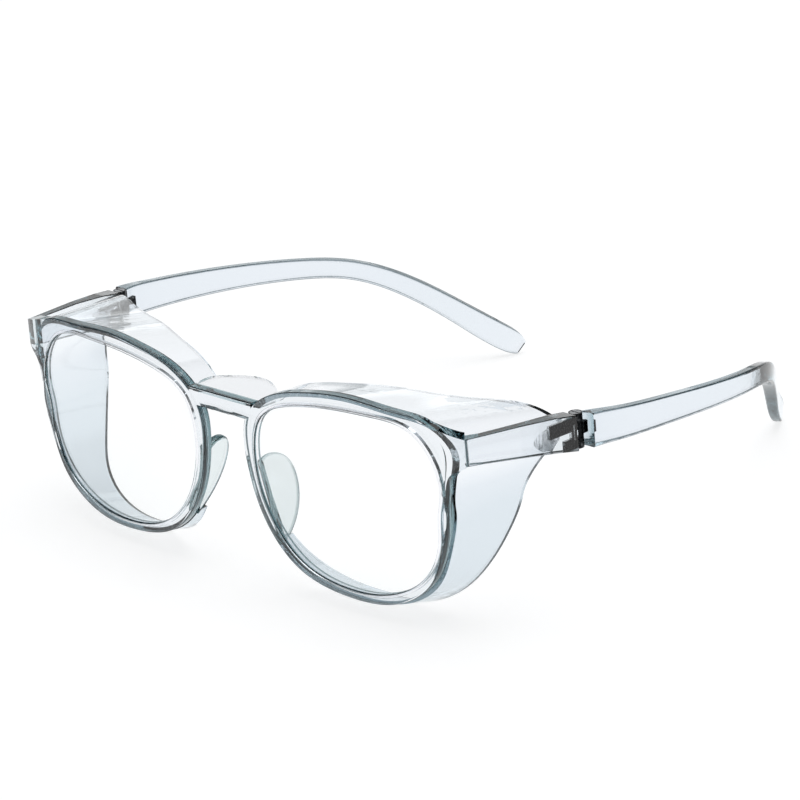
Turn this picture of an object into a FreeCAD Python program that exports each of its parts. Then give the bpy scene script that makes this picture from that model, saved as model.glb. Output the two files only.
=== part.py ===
import FreeCAD, Part
import math
import os

# Clear safety glasses with all-round shields and folding temples.
# Millimetres, +Z up, the front faces -Y and the temples run back along +Y.
# While the pieces are drawn, y = 0 is the foremost line of the front and the front stands upright.
# At the end everything leans back by stand_tilt and moves, so that the open glasses stand on their
# shields and tips at z = 0 and y = 0 is mid-depth.
# Left and right are the wearer's: left is +X.

V = FreeCAD.Vector

# driving dimensions
stand_tilt = 0.93            # degrees the open glasses lean back on their shields and tips
wrap_radius = 560.0          # the front bends round the face on this radius
rim_depth = 2.5              # front to back
lens_thickness = 1.3
lens_setback = 0.5           # lens front face behind the rim's front face
groove_depth = 0.8           # how far the lens edge goes into the rim
lens_play = 0.05
edge_round = 0.4             # moulded edges of the rims and the bridge

opening_points = [           # lens opening, x and z, from the outer side round over the top
    (59.9, 28.5), (59.1, 37.5), (54.0, 43.4), (44.0, 45.0), (33.0, 44.7), (22.0, 43.3), (11.9, 38.7),
    (9.4, 28.5), (12.2, 18.0), (20.6, 8.7), (33.0, 5.2), (46.0, 6.6), (55.0, 12.2), (58.9, 20.0),
]
rim_points = [               # outer edge of one rim, the same way round
    (62.0, 28.5), (62.6, 35.5), (62.6, 41.8), (59.6, 45.6), (49.8, 47.5), (37.0, 48.3), (24.0, 47.0),
    (13.2, 43.6), (7.2, 37.7), (6.5, 28.5), (9.4, 17.8), (18.2, 7.2), (33.0, 3.1), (47.2, 4.5),
    (56.8, 11.2), (60.4, 19.5),
]

corner_x = 67.0              # outer edge of the front
corner_y = 5.4
corner_top = 44.0
corner_bottom = 38.1
end_turn_x = 60.0            # from here outwards the front bends back to the corner
end_proud = 0.03             # the end piece's face stands this far in front of the rim's
end_low = 28.0
end_high = 50.0
end_round = 0.3
end_front_x = (50.0, 54.0, 57.0, 59.0, 61.0, 63.0, 65.0, corner_x)
end_back = [                 # x and y of the end piece's back
    (64.9, 7.6), (63.0, 6.5), (61.0, 5.8), (58.0, 5.3), (54.0, 4.95), (50.0, 4.6),
]
end_top = [                  # x and z along its top edge
    (54.0, 46.3), (57.0, 46.35), (60.0, 45.9), (63.5, 44.95), (corner_x, corner_top), (70.0, 43.2),
]
end_bottom = [               # under the corner, then down the web to the rim's side
    (70.0, 40.3), (corner_x, corner_bottom), (65.4, 37.1), (63.5, 36.0), (62.5, 34.0), (62.05, 31.0),
]
end_inside = [               # within the rim
    (61.0, 31.0), (60.6, 36.0), (59.2, 40.5), (56.8, 43.6), (54.0, 45.3),
]

bridge_top = 41.7
bridge_bottom = 37.6
bridge_half = 9.5
visor_depth = 12.6           # thin sheet behind the bridge, at its middle
visor_side_depth = 9.6
visor_thickness = 1.2
visor_start = 2.0
visor_overlap = 0.4          # into the rims and below the bridge's top
visor_corner = (2.0, 1.6)    # rounded ends of its rear edge, across and back

hinge_x = 69.8
hinge_y = 34.8
hinge_bottom = 33.6
hinge_top = 41.2
knuckle_radius = 1.45
knuckle_height = 2.3
hinge_gap = 0.12             # between knuckles, end to end
butt_gap = 0.3               # plastic to the knuckles
screw_radius = 0.65
screw_play = 0.04
screw_head_radius = 1.15
screw_head_height = 0.6
tang_thickness = 1.1
temple_plate_length = 4.0
temple_plate_inset = 0.1
upper_tang_length = 8.6
upper_tang_height = 3.0
lower_tang_length = 4.6
lower_tang_height = 2.4

leaf_inset = 0.35            # the leaf's plates are lower than its knuckles by this at each edge
web_clearance = 0.45         # web to the knuckles
web_length = 0.6
rib_count = 7                # knurls across the long tang
rib_pitch = 0.85
rib_length = 0.45
rib_proud = 0.2
rib_start = 0.2
rib_short = 0.2
screw_short = 0.3            # the screw ends this far inside the lower knuckle
slot_width = 0.32
slot_depth = 0.28

# arm from the corner back: x, y of the outer face, x, y of the inner face, bottom, top
# the first one is buried in the end piece
arm_sections = [
    (66.4, 5.5, 64.4, 7.1, corner_bottom + 0.4, corner_top - 0.4),
    (corner_x, corner_y, 64.9, 7.6, corner_bottom, corner_top),
    (67.9, 10.0, 65.8, 10.4, 37.5, 43.7),
    (69.7, 20.0, 67.3, 20.2, 35.9, 43.0),
    (71.0, 28.0, 67.7, 28.2, 34.5, 42.2),
    (71.9, hinge_y - knuckle_radius - butt_gap, 67.8, hinge_y - knuckle_radius - butt_gap,
     hinge_bottom - 0.1, hinge_top + 0.2),
]
arm_round = 0.3

# temple centre line: x, y, z, height, thickness
temple_stations = [
    (71.3, hinge_y + knuckle_radius + butt_gap, 37.2, 7.5, 3.8),
    (72.5, 43.5, 36.5, 7.0, 2.8),
    (72.7, 57.0, 34.9, 6.2, 2.5),
    (71.4, 73.0, 32.8, 5.4, 2.5),
    (68.2, 88.0, 30.5, 4.8, 2.5),
    (62.8, 100.5, 27.6, 4.5, 2.8),
    (55.5, 110.5, 21.9, 4.8, 2.9),
    (48.5, 119.0, 14.4, 5.3, 2.7),
    (42.6, 126.6, 7.2, 5.9, 2.4),
    (40.9, 129.4, 4.8, 5.2, 2.1),
    (40.1, 130.8, 3.4, 3.6, 1.4),
]

temple_round = 0.55

shield_thickness = 1.2
shield_start = 2.0
shield_end = 34.0
shield_rear_points = [       # where the shield's outer face would reach at shield_end, the same way round
    (65.0, 24.0), (69.0, 33.5), (69.4, 38.5), (66.0, 41.6), (51.0, 42.3), (37.0, 42.2), (24.0, 42.4),
    (12.0, 41.2), (8.0, 36.0), (8.5, 27.0), (9.5, 14.0), (18.0, 0.5), (33.0, -6.5), (48.5, -4.0),
    (60.0, 7.0),
]
shield_plan = [              # rear edge over the brow, x and y
    (2.0, 7.8), (9.0, 8.6), (24.0, 12.6), (38.0, 18.6), (52.0, 24.2), (65.0, 30.4), (76.0, 35.0),
]
shield_side = [              # rear edge down the side, z and y
    (-12.0, 10.0), (0.0, 11.6), (4.5, 13.6), (9.0, 16.0), (14.0, 18.9), (19.0, 21.4), (24.0, 23.4),
    (29.0, 24.9), (33.0, 26.9), (36.5, 30.2), (40.0, 36.0), (60.0, 70.0),
]
shield_under = [             # rear edge under the eye, x and y
    (4.0, 3.5), (12.0, 4.6), (20.0, 7.0), (28.0, 9.4), (36.0, 12.0), (44.0, 16.0), (50.0, 24.0),
    (80.0, 90.0),
]
shield_under_top = 14.0
shield_nose_top = 40.4       # the shield leaves the nose side open between these two heights
shield_nose_bottom = 12.0
shield_nose_x = 17.0

pad_thickness = 1.9
pad_round = 0.8
pad_outline = [              # back and height within the blade, from the top of its root to the bottom
    (0.0, 17.3), (3.4, 17.9), (6.2, 16.2), (7.4, 12.4), (6.6, 7.2), (3.8, 2.2), (0.0, -1.2),
]
pad_splay = 9.0             # degrees, the back edge stands further from the nose
pad_lean = 19.0              # degrees, the pads spread towards the bottom
pad_foot = (12.9, 2.4, 11.4)


def closed_curve(points):
    curve = Part.BSplineCurve()
    curve.interpolate([V(x, 0, z) for x, z in points], PeriodicFlag=True)
    return curve


def outline(points, grow=0.0):
    """Closed wire through the points, moved outwards by grow."""
    curve = closed_curve(points)
    if grow == 0.0:
        return Part.Wire([curve.toShape()])
    count = 60
    moved = []
    for i in range(count):
        t = curve.FirstParameter + (curve.LastParameter - curve.FirstParameter) * i / count
        place = curve.value(t)
        along = curve.tangent(t)[0]
        moved.append((place.x + grow * along.z, place.z - grow * along.x))
    return Part.Wire([closed_curve(moved).toShape()])


def prism(wire, start=-10.0, direction=V(0, 60, 0)):
    face = Part.Face(wire)
    face.translate(V(0, start, 0))
    return face.extrude(direction)


def wrap_slab(near, far):
    """Solid between two depths behind the bent front surface."""
    outer = Part.makeCylinder(wrap_radius - near, 80, V(0, wrap_radius, -15), V(0, 0, 1))
    inner = Part.makeCylinder(wrap_radius - far, 80, V(0, wrap_radius, -15), V(0, 0, 1))
    front_half = Part.makeBox(200, 60, 80, V(-100, -10, -15))
    return outer.cut(inner).common(front_half)


def behind_rims():
    """Everything behind the rims' back surface."""
    room = Part.makeBox(200, 160, 120, V(-100, -20, -40))
    inner = Part.makeCylinder(wrap_radius - rim_depth, 120, V(0, wrap_radius, -40), V(0, 0, 1))
    return room.common(inner)


def mirrored(shape):
    return shape.mirror(V(0, 0, 0), V(1, 0, 0))


def rounded_rectangle(centre, across, up, width, height, radius):
    """Closed wire with straight sides and quarter-circle corners."""
    a = width / 2.0
    b = height / 2.0
    r = min(radius, 0.45 * width, 0.45 * height)
    k = r * (1.0 - math.sqrt(0.5))

    def at(u, v):
        return centre + across * u + up * v

    corners = [
        (at(a, b - r), at(a - k, b - k), at(a - r, b)),
        (at(-a + r, b), at(-a + k, b - k), at(-a, b - r)),
        (at(-a, -b + r), at(-a + k, -b + k), at(-a + r, -b)),
        (at(a - r, -b), at(a - k, -b + k), at(a, -b + r)),
    ]
    edges = []
    for i in range(4):
        edges.append(Part.Arc(*corners[i]).toShape())
        edges.append(Part.makeLine(corners[i][2], corners[(i + 1) % 4][0]))
    return Part.Wire(edges)


def block(x0, x1, y0, y1, z0, z1):
    return Part.makeBox(x1 - x0, y1 - y0, z1 - z0, V(x0, y0, z0))


def flat_prism(points, thickness, z):
    """Solid with a smooth plan outline (x, y) through the points and a straight front edge."""
    curve = Part.BSplineCurve()
    curve.interpolate([V(x, y, z) for x, y in points])
    wire = Part.Wire([curve.toShape(), Part.makeLine(V(*points[-1], z), V(*points[0], z))])
    return Part.Face(wire).extrude(V(0, 0, thickness))


def one_rim():
    rim = prism(outline(rim_points)).common(wrap_slab(0.0, rim_depth))
    rim = rim.cut(prism(outline(opening_points)))
    return rim.makeFillet(edge_round, [e for e in rim.Edges if e.Length > 2 * rim_depth])


def lens_room(play):
    return prism(outline(opening_points, groove_depth + play)).common(
        wrap_slab(lens_setback - play, lens_setback + lens_thickness + play))


def one_lens():
    return prism(outline(opening_points, groove_depth)).common(
        wrap_slab(lens_setback, lens_setback + lens_thickness))


def spline(points):
    curve = Part.BSplineCurve()
    curve.interpolate(points)
    return curve.toShape()


def end_piece():
    """Flat end of the front with its corner and the web that runs down into the rim's side."""
    front = []
    for x in end_front_x:
        bend = max(0.0, (x - end_turn_x) / (corner_x - end_turn_x)) ** 2
        fall = corner_y - corner_x ** 2 / (2.0 * wrap_radius)
        front.append(V(x, x ** 2 / (2.0 * wrap_radius) - end_proud + bend * fall, end_low))
    back = [V(x, y, end_low) for x, y in end_back]
    corner = Part.makeLine(front[-1], back[0])
    closing = Part.makeLine(back[-1], front[0])
    plan = Part.Face(Part.Wire([spline(front), corner, spline(back), closing]))
    slab = plan.extrude(V(0, 0, end_high - end_low))
    top = [V(x, 0, z) for x, z in end_top]
    low = [V(x, 0, z) for x, z in end_bottom]
    inside = [V(x, 0, z) for x, z in end_inside]
    edges = [spline(top), Part.makeLine(top[-1], low[0]), spline(low)]
    inner = [low[-1]] + inside + [top[0]]
    edges += [Part.makeLine(inner[i], inner[i + 1]) for i in range(len(inner) - 1)]
    return prism(Part.Wire(edges)).common(slab)


def arm():
    """From the sharp corner back to the hinge."""
    wires = []
    for outer_x, outer_y, inner_x, inner_y, low, high in arm_sections:
        across = V(outer_x - inner_x, outer_y - inner_y, 0)
        centre = V((outer_x + inner_x) / 2.0, (outer_y + inner_y) / 2.0, (low + high) / 2.0)
        thick = across.Length
        across.normalize()
        wires.append(rounded_rectangle(centre, across, V(0, 0, 1), thick, high - low, arm_round))
    return Part.makeLoft(wires, True, True)


def bridge():
    bar = block(-bridge_half, bridge_half, -5, 20, bridge_bottom, bridge_top)
    bar = bar.common(wrap_slab(0.0, rim_depth))
    long_edges = [e for e in bar.Edges if e.Length > 2 * rim_depth]
    return bar.makeFillet(edge_round, long_edges)


def visor():
    """Thin sheet behind the bridge, joining the two top shields."""
    side = bridge_half - visor_overlap
    turn_x, turn_y = visor_corner
    rear = visor_side_depth + visor_overlap
    half = [(side, visor_start), (side, rear - turn_y), (side - turn_x, rear)]
    points = [(-x, y) for x, y in half] + [(0.0, visor_depth)] + half[::-1]
    return flat_prism(points, visor_thickness, bridge_top - visor_thickness - visor_overlap / 2.0)


def plate(half, y0, y1, low, high):
    """Upright metal plate on the hinge line."""
    return block(hinge_x - half, hinge_x + half, y0, y1, low, high)


def front_leaf():
    """Metal leaf set in the arm: two knuckles, two tangs, knurls on the long one and a web between."""
    top = hinge_top - knuckle_height
    low = hinge_bottom + knuckle_height
    half = tang_thickness / 2.0
    start = hinge_y - upper_tang_length
    web_end = hinge_y - knuckle_radius - web_clearance
    lower_start = hinge_y - lower_tang_length
    leaf = plate(half, start, hinge_y, top + leaf_inset, hinge_top - leaf_inset)
    under = hinge_bottom + leaf_inset
    over = hinge_top - leaf_inset
    pieces = [
        plate(half, lower_start, hinge_y, under, low - leaf_inset),
        plate(half, start, web_end, over - upper_tang_height, over),
        plate(half, lower_start, web_end, under, under + lower_tang_height),
        plate(half, web_end - web_length, web_end, under, over),
        knuckle(hinge_bottom, low),
        knuckle(top, hinge_top),
    ]
    rib_low = over - upper_tang_height + rib_short
    rib_high = over - rib_short
    for i in range(rib_count):
        y = start + rib_start + i * rib_pitch
        pieces.append(plate(half + rib_proud, y, y + rib_length, rib_low, rib_high))
    bore = Part.makeCylinder(screw_radius, hinge_top - hinge_bottom, V(hinge_x, hinge_y, hinge_bottom))
    head_bottom = hinge_top - screw_head_height
    sink = Part.makeCylinder(screw_head_radius, screw_head_height, V(hinge_x, hinge_y, head_bottom))
    return leaf.fuse(pieces).cut(bore).cut(sink)


def knuckle(low, high):
    return Part.makeCylinder(knuckle_radius, high - low, V(hinge_x, hinge_y, low))


def temple_leaf():
    """Metal leaf set in the temple: the middle knuckle and a short plate."""
    low = hinge_bottom + knuckle_height + hinge_gap
    high = hinge_top - knuckle_height - hinge_gap
    end = hinge_y + temple_plate_length
    inset = temple_plate_inset
    tongue = plate(tang_thickness / 2.0, hinge_y, end, low + inset, high - inset)
    bore = Part.makeCylinder(screw_radius + screw_play, high - low, V(hinge_x, hinge_y, low))
    return tongue.fuse(knuckle(low, high)).cut(bore)


def hinge_screw():
    start = hinge_bottom + screw_short
    shaft = Part.makeCylinder(screw_radius, hinge_top - start, V(hinge_x, hinge_y, start))
    head_bottom = hinge_top - screw_head_height
    head = Part.makeCylinder(screw_head_radius, screw_head_height, V(hinge_x, hinge_y, head_bottom))
    half = slot_width / 2.0
    floor = hinge_top - slot_depth
    slot = block(hinge_x - 2, hinge_x + 2, hinge_y - half, hinge_y + half, floor, hinge_top + 1)
    return shaft.fuse(head).cut(slot)


def temple_blade():
    places = [V(x, y, z) for x, y, z, height, thick in temple_stations]
    wires = []
    for i, (x, y, z, height, thick) in enumerate(temple_stations):
        before = places[max(i - 1, 0)]
        after = places[min(i + 1, len(places) - 1)]
        along = (after - before).normalize()
        if i == 0:
            along = V(0, 1, 0)
        across = along.cross(V(0, 0, 1)).normalize()
        up = across.cross(along)
        wires.append(rounded_rectangle(places[i], across, up, thick, height, temple_round))
    return Part.makeLoft(wires, True, False)


def trim(points, plan):
    """Keeps what lies in front of a curve: plan takes x, y pairs, otherwise z, y pairs."""
    near = -20.0
    span = 200.0
    curve = Part.BSplineCurve()
    if plan:
        row = [V(a, y, -60) for a, y in points]
        ends = [V(row[-1].x, near, -60), V(row[0].x, near, -60)]
        push = V(0, 0, span)
    else:
        row = [V(-60, y, a) for a, y in points]
        ends = [V(-60, near, row[-1].z), V(-60, near, row[0].z)]
        push = V(span, 0, 0)
    curve.interpolate(row)
    corners = [row[-1]] + ends + [row[0]]
    lines = [Part.makeLine(corners[i], corners[i + 1]) for i in range(3)]
    return Part.Face(Part.Wire([curve.toShape()] + lines)).extrude(push)


def shield():
    """Thin wall that carries on back from the rim over the brow, down the side and under the eye."""
    def skin(inset):
        front = outline(rim_points, -inset)
        front.translate(V(0, shield_start, 0))
        rear = outline(shield_rear_points, -inset)
        rear.translate(V(0, shield_end, 0))
        return Part.makeLoft([front, rear], True, True)

    wall = skin(0.0).cut(skin(shield_thickness)).common(behind_rims())
    wall = wall.common(trim(shield_plan, True)).common(trim(shield_side, False))
    low = block(-20, 100, -5, 80, -40, shield_under_top)
    wall = wall.cut(low.cut(trim(shield_under, True)))
    nose_gap = block(-20, shield_nose_x, -5, 60, shield_nose_bottom, shield_nose_top)
    return wall.cut(nose_gap)


def nose_pad():
    curve = Part.BSplineCurve()
    curve.interpolate([V(0, y, z) for y, z in pad_outline])
    root = Part.makeLine(V(0, *pad_outline[-1]), V(0, *pad_outline[0]))
    blade = Part.Face(Part.Wire([curve.toShape(), root])).extrude(V(pad_thickness, 0, 0))
    long_edges = [e for e in blade.Edges if e.Length > pad_thickness * 1.5 and abs(e.CenterOfMass.y) > 0.5]
    blade = blade.makeFillet(pad_round, long_edges)
    blade.rotate(V(0, 0, 0), V(0, 1, 0), -pad_lean)
    blade.rotate(V(0, 0, 0), V(0, 0, 1), -pad_splay)
    blade.translate(V(*pad_foot))
    return blade.common(behind_rims())


def largest(shape):
    """The main solid, without the slivers that a cut leaves."""
    return max(shape.Solids, key=lambda solid: solid.Volume)


def build():
    leaf = front_leaf()
    back_leaf = temple_leaf()
    blade = temple_blade().cut(back_leaf)
    rim = one_rim().cut(lens_room(lens_play))
    half = [rim, end_piece(), arm()]
    front = bridge().fuse([visor()] + half + [mirrored(piece) for piece in half])
    front = front.cut(leaf).cut(mirrored(leaf))
    pad = nose_pad()
    wall = largest(shield().cut(front).cut(pad))
    sides = {
        "lens": one_lens(),
        "shield": wall,
        "nose_pad": pad.cut(front),
        "temple": blade,
        "front_hinge": leaf,
        "temple_hinge": back_leaf,
        "hinge_screw": hinge_screw(),
    }
    parts = {"front_frame": front}
    for name, shape in sides.items():
        parts["left_" + name] = shape
        parts["right_" + name] = mirrored(shape)
    return parts


def save(parts):
    for shape in parts.values():
        shape.rotate(V(0, 0, 0), V(1, 0, 0), -stand_tilt)
    whole = Part.makeCompound(list(parts.values()))
    box = whole.optimalBoundingBox()
    middle = round((box.YMin + box.YMax) / 2.0, 2)
    base = round(box.ZMin, 2)
    hinge = V(hinge_x, hinge_y, hinge_bottom)
    hinge = FreeCAD.Rotation(V(1, 0, 0), -stand_tilt).multVec(hinge) + V(0, -middle, -base)
    axis = FreeCAD.Rotation(V(1, 0, 0), -stand_tilt).multVec(V(0, 0, 1))
    size = [round(length, 2) for length in (box.XLength, box.YLength, box.ZLength)]
    print("moved by y", -middle, "z", -base, "hinge at", hinge, "axis", axis, "size", size)
    for name, shape in parts.items():
        shape.translate(V(0, -middle, -base))
        shape.exportStep("parts/" + name + ".step")


os.makedirs("parts", exist_ok=True)
save(build())
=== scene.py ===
import math

import bmesh
import bpy
from mathutils import Matrix, Vector

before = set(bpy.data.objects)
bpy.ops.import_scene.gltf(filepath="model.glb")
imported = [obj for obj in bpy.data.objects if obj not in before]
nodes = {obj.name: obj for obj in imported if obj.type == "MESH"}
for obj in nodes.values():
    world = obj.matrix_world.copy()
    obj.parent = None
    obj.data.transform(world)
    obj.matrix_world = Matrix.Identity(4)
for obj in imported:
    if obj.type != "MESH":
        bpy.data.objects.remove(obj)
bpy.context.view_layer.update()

# tint is what a sheet lets through at each height, absorb and density darken the long ways through the
# plastic, gloss is the roughness of clean and of smeared patches, flow, hair and scratch are the scale
# of the cloudiness and the scale and strength of the hairlines, the edge stops are painted shade, a
# colour that darkens by how far a surface looks along the axes that flat weighs, for the dark room
# seen through the narrow walls, turn is where the arms begin in Y, and visor is the thin sheet's half
# width and its front in Y
frameLook = {"tint": [(0.000, (0.965, 0.960, 0.975)), (0.048, (0.975, 0.965, 0.985))], "ior": 1.53,
             "absorb": (0.28, 0.50, 0.55), "density": 70.0, "gloss": (0.004, 0.035), "flow": 70.0,
             "hair": 900.0, "scratch": 0.08, "flat": (0.0, 1.0, 0.0), "turn": (-0.0602, -0.0592),
             "visor": (0.0098, -0.0629),
             "edge": [(0.00, (0.20, 0.31, 0.33)), (0.06, (0.13, 0.22, 0.24)), (0.22, (0.008, 0.014, 0.017)),
                      (0.60, (0.012, 0.022, 0.026)), (0.80, (1.0, 1.0, 1.0))]}
shieldLook = {"tint": [(0.004, (0.72, 0.775, 0.82)), (0.024, (0.74, 0.79, 0.835)),
                       (0.031, (0.80, 0.835, 0.88)), (0.037, (0.95, 0.955, 0.98))], "ior": 1.49,
              "absorb": (0.30, 0.60, 0.66), "density": 45.0, "gloss": (0.008, 0.045), "flow": 60.0,
              "hair": 800.0, "scratch": 0.06, "flat": (1.0, 0.0, 1.0),
              "edge": [(0.30, (0.40, 0.44, 0.46)), (0.70, (1.0, 1.0, 1.0))]}
templeLook = {"tint": [(0.000, (0.88, 0.90, 0.94)), (0.048, (0.895, 0.905, 0.95))], "ior": 1.52,
              "absorb": (0.28, 0.50, 0.55), "density": 60.0, "gloss": (0.006, 0.045), "flow": 80.0,
              "hair": 900.0, "scratch": 0.07, "flat": (1.0, 1.0, 0.0),
              "edge": [(0.00, (0.42, 0.48, 0.50)), (0.30, (0.08, 0.11, 0.12)), (0.60, (0.10, 0.13, 0.14)),
                       (0.85, (1.0, 1.0, 1.0))]}
padLook = {"tint": [(0.010, (0.86, 0.885, 0.89)), (0.029, (0.88, 0.90, 0.905))], "ior": 1.49,
           "absorb": (0.32, 0.58, 0.60), "density": 75.0, "gloss": (0.02, 0.07), "flow": 160.0,
           "hair": 1400.0, "scratch": 0.05, "flat": (1.0, 0.0, 0.0),
           "edge": [(0.25, (0.35, 0.42, 0.43)), (0.70, (1.0, 1.0, 1.0))]}
lensLook = {"tint": [(0.000, (0.985, 0.995, 0.995)), (0.048, (0.99, 0.995, 0.998))], "ior": 1.45,
            "absorb": (0.60, 0.85, 0.88), "density": 12.0, "gloss": (0.0, 0.008), "flow": 50.0,
            "hair": 500.0, "scratch": 0.010, "flat": (0.0, 1.0, 0.0),
            "edge": [(0.25, (0.70, 0.78, 0.80)), (0.70, (1.0, 1.0, 1.0))]}
# colour and worn are the metal's two shades, gloss its roughness, knurl and grain the scale of its relief
hingeLook = {"colour": (0.010, 0.011, 0.012), "worn": (0.26, 0.27, 0.28), "gloss": (0.22, 0.45),
             "grain": 2600.0, "knurl": 1500.0, "bump": 0.7}
screwLook = {"colour": (0.30, 0.31, 0.32), "worn": (0.60, 0.60, 0.61), "gloss": (0.16, 0.34),
             "grain": 3200.0, "knurl": 5200.0, "bump": 0.2}

# uneven is the height that cloudiness adds, tints are read over span in height from below under the
# floor, smear is the scale of finger marks, dull is where they begin and end in the noise, run and lean
# stretch and turn the hairlines, and depth is how deep they are
plasticGrain = {"uneven": 0.006, "below": 0.003, "span": 0.054, "smear": 260.0, "dull": (0.40, 0.75),
                "run": (1.0, 0.12, 0.6), "lean": (0.3, 0.2, 0.5), "depth": 0.00008}
# patch is the worn patches' scale over the grain's, worn and dull are where they begin and end in the
# noise, fine is the grain's share of the relief, and depth is how deep that is
metalGrain = {"patch": 0.3, "worn": (0.50, 0.80), "dull": (0.30, 0.70), "fine": 0.4, "depth": 0.00025}


def addNode(tree, kind, at, **values):
    node = tree.nodes.new(kind)
    node.location = at
    for name, value in values.items():
        if name in node.inputs:
            node.inputs[name].default_value = value
        else:
            setattr(node, name, value)
    return node


def greyStops(places, values):
    return [(place, (value,) * 3) for place, value in zip(places, values)]


def ramp(tree, at, fac, stops):
    node = addNode(tree, "ShaderNodeValToRGB", at)
    while len(node.color_ramp.elements) < len(stops):
        node.color_ramp.elements.new(0.5)
    for element, (place, colour) in zip(node.color_ramp.elements, stops):
        element.position = place
        element.color = (*colour, 1.0)
    tree.links.new(fac, node.inputs["Fac"])
    return node


def newMaterial(name):
    material = bpy.data.materials.new(name)
    material.use_nodes = True
    tree = material.node_tree
    tree.nodes.clear()
    out = addNode(tree, "ShaderNodeOutputMaterial", (700, 0))
    shader = addNode(tree, "ShaderNodeBsdfPrincipled", (350, 0))
    tree.links.new(shader.outputs[0], out.inputs["Surface"])
    return material, tree, shader


# weights that pick which faces count as broad, for the painted shade on the narrow walls
def frameWeights(tree, height, look):
    # behind the corner the arms' broad faces look sideways
    start, end = look["turn"]
    arms = addNode(tree, "ShaderNodeMapRange", (-900, 900))
    tree.links.new(height.outputs["Y"], arms.inputs["Value"])
    arms.inputs["From Min"].default_value = start
    arms.inputs["From Max"].default_value = end
    weights = addNode(tree, "ShaderNodeCombineXYZ", (-700, 900), Y=1.0)
    tree.links.new(arms.outputs["Result"], weights.inputs["X"])

    # the thin sheet behind the bridge looks up and down
    half, back = look["visor"]
    across = addNode(tree, "ShaderNodeMath", (-1100, 1100), operation="ABSOLUTE")
    tree.links.new(height.outputs["X"], across.inputs[0])
    inside = addNode(tree, "ShaderNodeMath", (-900, 1100), operation="LESS_THAN")
    tree.links.new(across.outputs[0], inside.inputs[0])
    inside.inputs[1].default_value = half
    behind = addNode(tree, "ShaderNodeMath", (-900, 1300), operation="GREATER_THAN")
    tree.links.new(height.outputs["Y"], behind.inputs[0])
    behind.inputs[1].default_value = back
    visor = addNode(tree, "ShaderNodeMath", (-700, 1200), operation="MULTIPLY")
    tree.links.new(inside.outputs[0], visor.inputs[0])
    tree.links.new(behind.outputs[0], visor.inputs[1])
    tree.links.new(visor.outputs[0], weights.inputs["Z"])
    return weights.outputs[0]


def clearPlastic(name, look):
    material, tree, shader = newMaterial(name)
    coords = addNode(tree, "ShaderNodeTexCoord", (-1100, 0))
    place = coords.outputs["Object"]

    # height on the object, a little uneven where the plastic flowed in the mould
    height = addNode(tree, "ShaderNodeSeparateXYZ", (-900, 400))
    tree.links.new(place, height.inputs[0])
    flow = addNode(tree, "ShaderNodeTexNoise", (-900, 250), Scale=look["flow"], Detail=3.0, Roughness=0.45)
    tree.links.new(place, flow.inputs["Vector"])
    uneven = addNode(tree, "ShaderNodeMath", (-700, 300), operation="MULTIPLY_ADD")
    tree.links.new(flow.outputs["Fac"], uneven.inputs[0])
    uneven.inputs[1].default_value = plasticGrain["uneven"]
    tree.links.new(height.outputs["Z"], uneven.inputs[2])
    span = addNode(tree, "ShaderNodeMath", (-500, 300), operation="DIVIDE")
    tree.links.new(uneven.outputs[0], span.inputs[0])
    span.inputs[1].default_value = plasticGrain["span"]
    stops = [((z + plasticGrain["below"]) / plasticGrain["span"], colour) for z, colour in look["tint"]]
    tint = ramp(tree, (-300, 300), span.outputs[0], stops)

    # painted shade: narrow walls are painted darker than the broad faces, standing in for the dark room seen
    # through them along the clear edges
    square = addNode(tree, "ShaderNodeVectorMath", (-900, 700), operation="MULTIPLY")
    tree.links.new(coords.outputs["Normal"], square.inputs[0])
    tree.links.new(coords.outputs["Normal"], square.inputs[1])
    broad = addNode(tree, "ShaderNodeVectorMath", (-500, 700), operation="DOT_PRODUCT")
    tree.links.new(square.outputs["Vector"], broad.inputs[0])
    broad.inputs[1].default_value = look["flat"]
    if "turn" in look:
        tree.links.new(frameWeights(tree, height, look), broad.inputs[1])
    edge = ramp(tree, (-300, 700), broad.outputs["Value"], look["edge"])
    colour = addNode(tree, "ShaderNodeMixRGB", (0, 500), blend_type="MULTIPLY")
    colour.inputs["Fac"].default_value = 1.0
    tree.links.new(tint.outputs["Color"], colour.inputs["Color1"])
    tree.links.new(edge.outputs["Color"], colour.inputs["Color2"])
    tree.links.new(colour.outputs["Color"], shader.inputs["Base Color"])

    # finger marks and wiping: patches of duller gloss
    smear = addNode(tree, "ShaderNodeTexNoise", (-600, 0), Scale=plasticGrain["smear"],
                    Detail=6.0, Roughness=0.6)
    tree.links.new(place, smear.inputs["Vector"])
    gloss = ramp(tree, (-300, 0), smear.outputs["Fac"], greyStops(plasticGrain["dull"], look["gloss"]))
    tree.links.new(gloss.outputs["Color"], shader.inputs["Roughness"])

    # hairline scratches and the tool's fine grain
    stretch = addNode(tree, "ShaderNodeMapping", (-750, -300),
                      Scale=plasticGrain["run"], Rotation=plasticGrain["lean"])
    tree.links.new(place, stretch.inputs["Vector"])
    hair = addNode(tree, "ShaderNodeTexNoise", (-550, -300), Scale=look["hair"], Detail=2.0, Roughness=0.5)
    tree.links.new(stretch.outputs["Vector"], hair.inputs["Vector"])
    bump = addNode(tree, "ShaderNodeBump", (0, -300), Strength=look["scratch"],
                   Distance=plasticGrain["depth"])
    tree.links.new(hair.outputs["Fac"], bump.inputs["Height"])
    tree.links.new(bump.outputs["Normal"], shader.inputs["Normal"])

    shader.inputs["Transmission Weight"].default_value = 1.0
    shader.inputs["IOR"].default_value = look["ior"]
    absorb = addNode(tree, "ShaderNodeVolumeAbsorption", (350, -400),
                     Color=(*look["absorb"], 1.0), Density=look["density"])
    tree.links.new(absorb.outputs[0], tree.nodes["Material Output"].inputs["Volume"])
    return material


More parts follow.
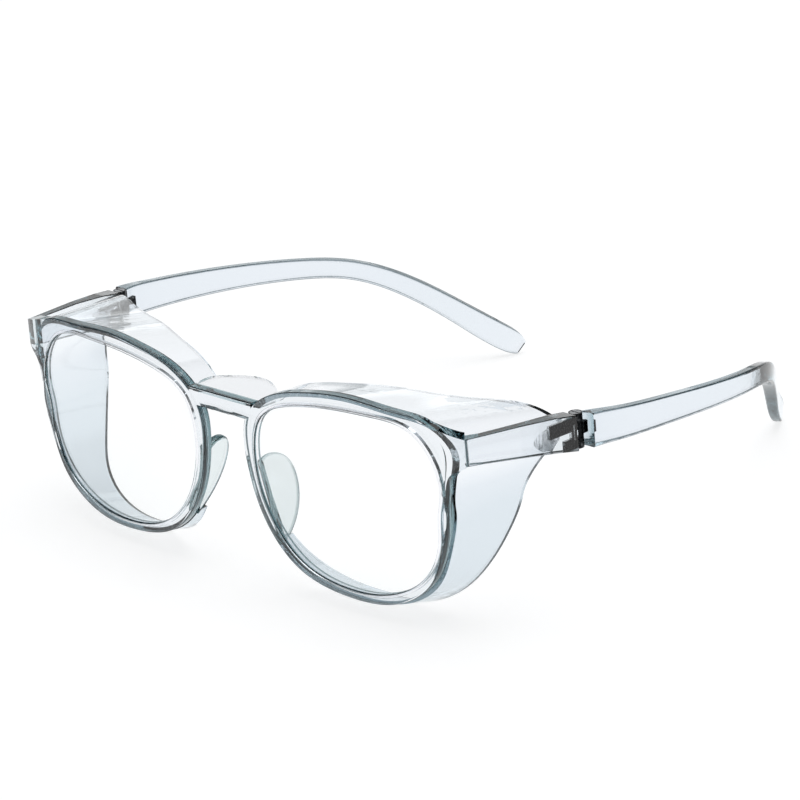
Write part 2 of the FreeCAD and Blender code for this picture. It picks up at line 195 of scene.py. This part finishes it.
def metal(name, look):
    material, tree, shader = newMaterial(name)
    place = addNode(tree, "ShaderNodeTexCoord", (-1100, 0)).outputs["Object"]
    patch = addNode(tree, "ShaderNodeTexNoise", (-800, 200), Scale=look["grain"] * metalGrain["patch"],
                    Detail=5.0)
    tree.links.new(place, patch.inputs["Vector"])
    shades = zip(metalGrain["worn"], (look["colour"], look["worn"]))
    colour = ramp(tree, (-300, 200), patch.outputs["Fac"], list(shades))
    tree.links.new(colour.outputs["Color"], shader.inputs["Base Color"])
    gloss = ramp(tree, (-300, 0), patch.outputs["Fac"], greyStops(metalGrain["dull"], look["gloss"]))
    tree.links.new(gloss.outputs["Color"], shader.inputs["Roughness"])

    # pressed knurl over a fine grain
    knurl = addNode(tree, "ShaderNodeTexVoronoi", (-800, -200), Scale=look["knurl"])
    tree.links.new(place, knurl.inputs["Vector"])
    grain = addNode(tree, "ShaderNodeTexNoise", (-800, -450), Scale=look["grain"], Detail=3.0)
    tree.links.new(place, grain.inputs["Vector"])
    relief = addNode(tree, "ShaderNodeMath", (-300, -300), operation="MULTIPLY_ADD")
    tree.links.new(grain.outputs["Fac"], relief.inputs[0])
    relief.inputs[1].default_value = metalGrain["fine"]
    tree.links.new(knurl.outputs["Distance"], relief.inputs[2])
    bump = addNode(tree, "ShaderNodeBump", (0, -200), Strength=look["bump"],
                   Distance=metalGrain["depth"])
    tree.links.new(relief.outputs[0], bump.inputs["Height"])
    tree.links.new(bump.outputs["Normal"], shader.inputs["Normal"])
    shader.inputs["Metallic"].default_value = 1.0
    return material


finishes = {"front_frame": clearPlastic("clear_frame", frameLook)}
sidePieces = {
    "lens": clearPlastic("clear_lens", lensLook),
    "shield": clearPlastic("clear_shield", shieldLook),
    "nose_pad": clearPlastic("clear_pad", padLook),
    "temple": clearPlastic("clear_temple", templeLook),
    "front_hinge": metal("hinge_metal", hingeLook),
    "temple_hinge": metal("temple_hinge_metal", hingeLook),
    "hinge_screw": metal("screw_metal", screwLook),
}
for side in ("left_", "right_"):
    for piece, material in sidePieces.items():
        finishes[side + piece] = material
for name, material in finishes.items():
    nodes[name].data.materials.clear()
    nodes[name].data.materials.append(material)
print("finishes on", len(finishes), "pieces")

floorLook = {  # a pale table that glows, with a painted pool of light: its glow and its colour fall off with the distance from its middle as a share of half its size
    "size": 8.0, "drop": 0.0001, "glow": 0.80,
    "colour_with_painted_shade": [(0.14, (0.40, 0.40, 0.40)), (0.40, (0.16, 0.165, 0.17))],
    "painted_light_falloff": [(0.14, (1.0, 1.0, 1.0)), (0.26, (0.45, 0.47, 0.48)), (0.50, (0.16, 0.17, 0.175))],
}
skyLook = [(0.00, (0.93, 0.95, 0.96)), (0.07, (0.80, 0.83, 0.85)), (0.15, (0.025, 0.032, 0.035)),
           (0.66, (0.025, 0.032, 0.035)), (0.80, (0.42, 0.45, 0.48)), (1.00, (0.60, 0.62, 0.65))]


def makeFloor():
    mesh = bpy.data.meshes.new("floor")
    shape = bmesh.new()
    bmesh.ops.create_grid(shape, x_segments=1, y_segments=1, size=floorLook["size"] / 2)
    shape.to_mesh(mesh)
    shape.free()
    sheet = bpy.data.objects.new("floor", mesh)
    bpy.context.collection.objects.link(sheet)
    sheet.location.z = -floorLook["drop"]

    material, tree, shader = newMaterial("pale_floor")
    place = addNode(tree, "ShaderNodeTexCoord", (-900, 0))
    reach = addNode(tree, "ShaderNodeVectorMath", (-700, 0), operation="LENGTH")
    tree.links.new(place.outputs["Object"], reach.inputs[0])
    share = addNode(tree, "ShaderNodeMath", (-500, 0), operation="DIVIDE")
    tree.links.new(reach.outputs["Value"], share.inputs[0])
    share.inputs[1].default_value = floorLook["size"] / 2
    # the base colour darkens and the glow falls off away from the middle: painted shade and a painted pool
    # of light
    for socket, stops, height in (("Base Color", "colour_with_painted_shade", 200), ("Emission Color", "painted_light_falloff", -200)):
        fall = ramp(tree, (-300, height), share.outputs[0], floorLook[stops])
        tree.links.new(fall.outputs["Color"], shader.inputs[socket])
    shader.inputs["Roughness"].default_value = 1.0
    shader.inputs["Specular IOR Level"].default_value = 0.0
    shader.inputs["Emission Strength"].default_value = floorLook["glow"]
    mesh.materials.append(material)
    return sheet


floor = makeFloor()


def makeSky():  # pale at the horizon, dark round the sides so that clear edges show, soft light above
    world = bpy.data.worlds.new("studio")
    bpy.context.scene.world = world
    world.use_nodes = True
    tree = world.node_tree
    direction = addNode(tree, "ShaderNodeTexCoord", (-800, 0))
    parts = addNode(tree, "ShaderNodeSeparateXYZ", (-600, 0))
    tree.links.new(direction.outputs["Generated"], parts.inputs[0])
    sky = ramp(tree, (-400, 0), parts.outputs["Z"], skyLook)
    tree.links.new(sky.outputs["Color"], tree.nodes["Background"].inputs["Color"])


makeSky()

lights = {  # place, target, width, height, power
    "overhead": ((0.1, 0.2, 1.3), (0, 0, 0), 1.1, 1.1, 6.0),
    "backdrop": ((-1.55, 1.45, 0.95), (0, 0, 0.05), 2.4, 1.5, 9.0),
}


def softLight(name, place, target, width, height, power):
    data = bpy.data.lights.new(name, "AREA")
    data.shape = "RECTANGLE"
    data.size = width
    data.size_y = height
    data.energy = power
    light = bpy.data.objects.new(name, data)
    light.location = place
    light.rotation_euler = (Vector(target) - Vector(place)).to_track_quat("-Z", "Y").to_euler()
    bpy.context.collection.objects.link(light)


for name, values in lights.items():
    softLight(name, *values)

view = {"azimuth": 46.76, "elevation": 21.08, "roll": -5.58, "distance": 1.0,
        "aim": (0.02884, -0.04084, 0.03826), "lens": 215.1, "sensor": 36.0}
bounces = {"max": 24, "transmission": 24, "transparent_max": 24, "glossy": 8}


def setCamera():
    a, e = math.radians(view["azimuth"]), math.radians(view["elevation"])
    back = Vector((math.sin(a) * math.cos(e), -math.cos(a) * math.cos(e), math.sin(e)))
    data = bpy.data.cameras.new("camera")
    data.lens = view["lens"]
    data.sensor_width = view["sensor"]
    camera = bpy.data.objects.new("camera", data)
    turn = (-back).to_track_quat("-Z", "Y").to_matrix() @ Matrix.Rotation(math.radians(view["roll"]), 3, "Z")
    camera.matrix_world = Matrix.Translation(Vector(view["aim"]) + back * view["distance"]) @ turn.to_4x4()
    bpy.context.collection.objects.link(camera)
    bpy.context.scene.camera = camera


setCamera()
scene = bpy.context.scene
scene.view_settings.view_transform = "Standard"
for kind, count in bounces.items():
    setattr(scene.cycles, kind + "_bounces", count)
print("room and camera done")
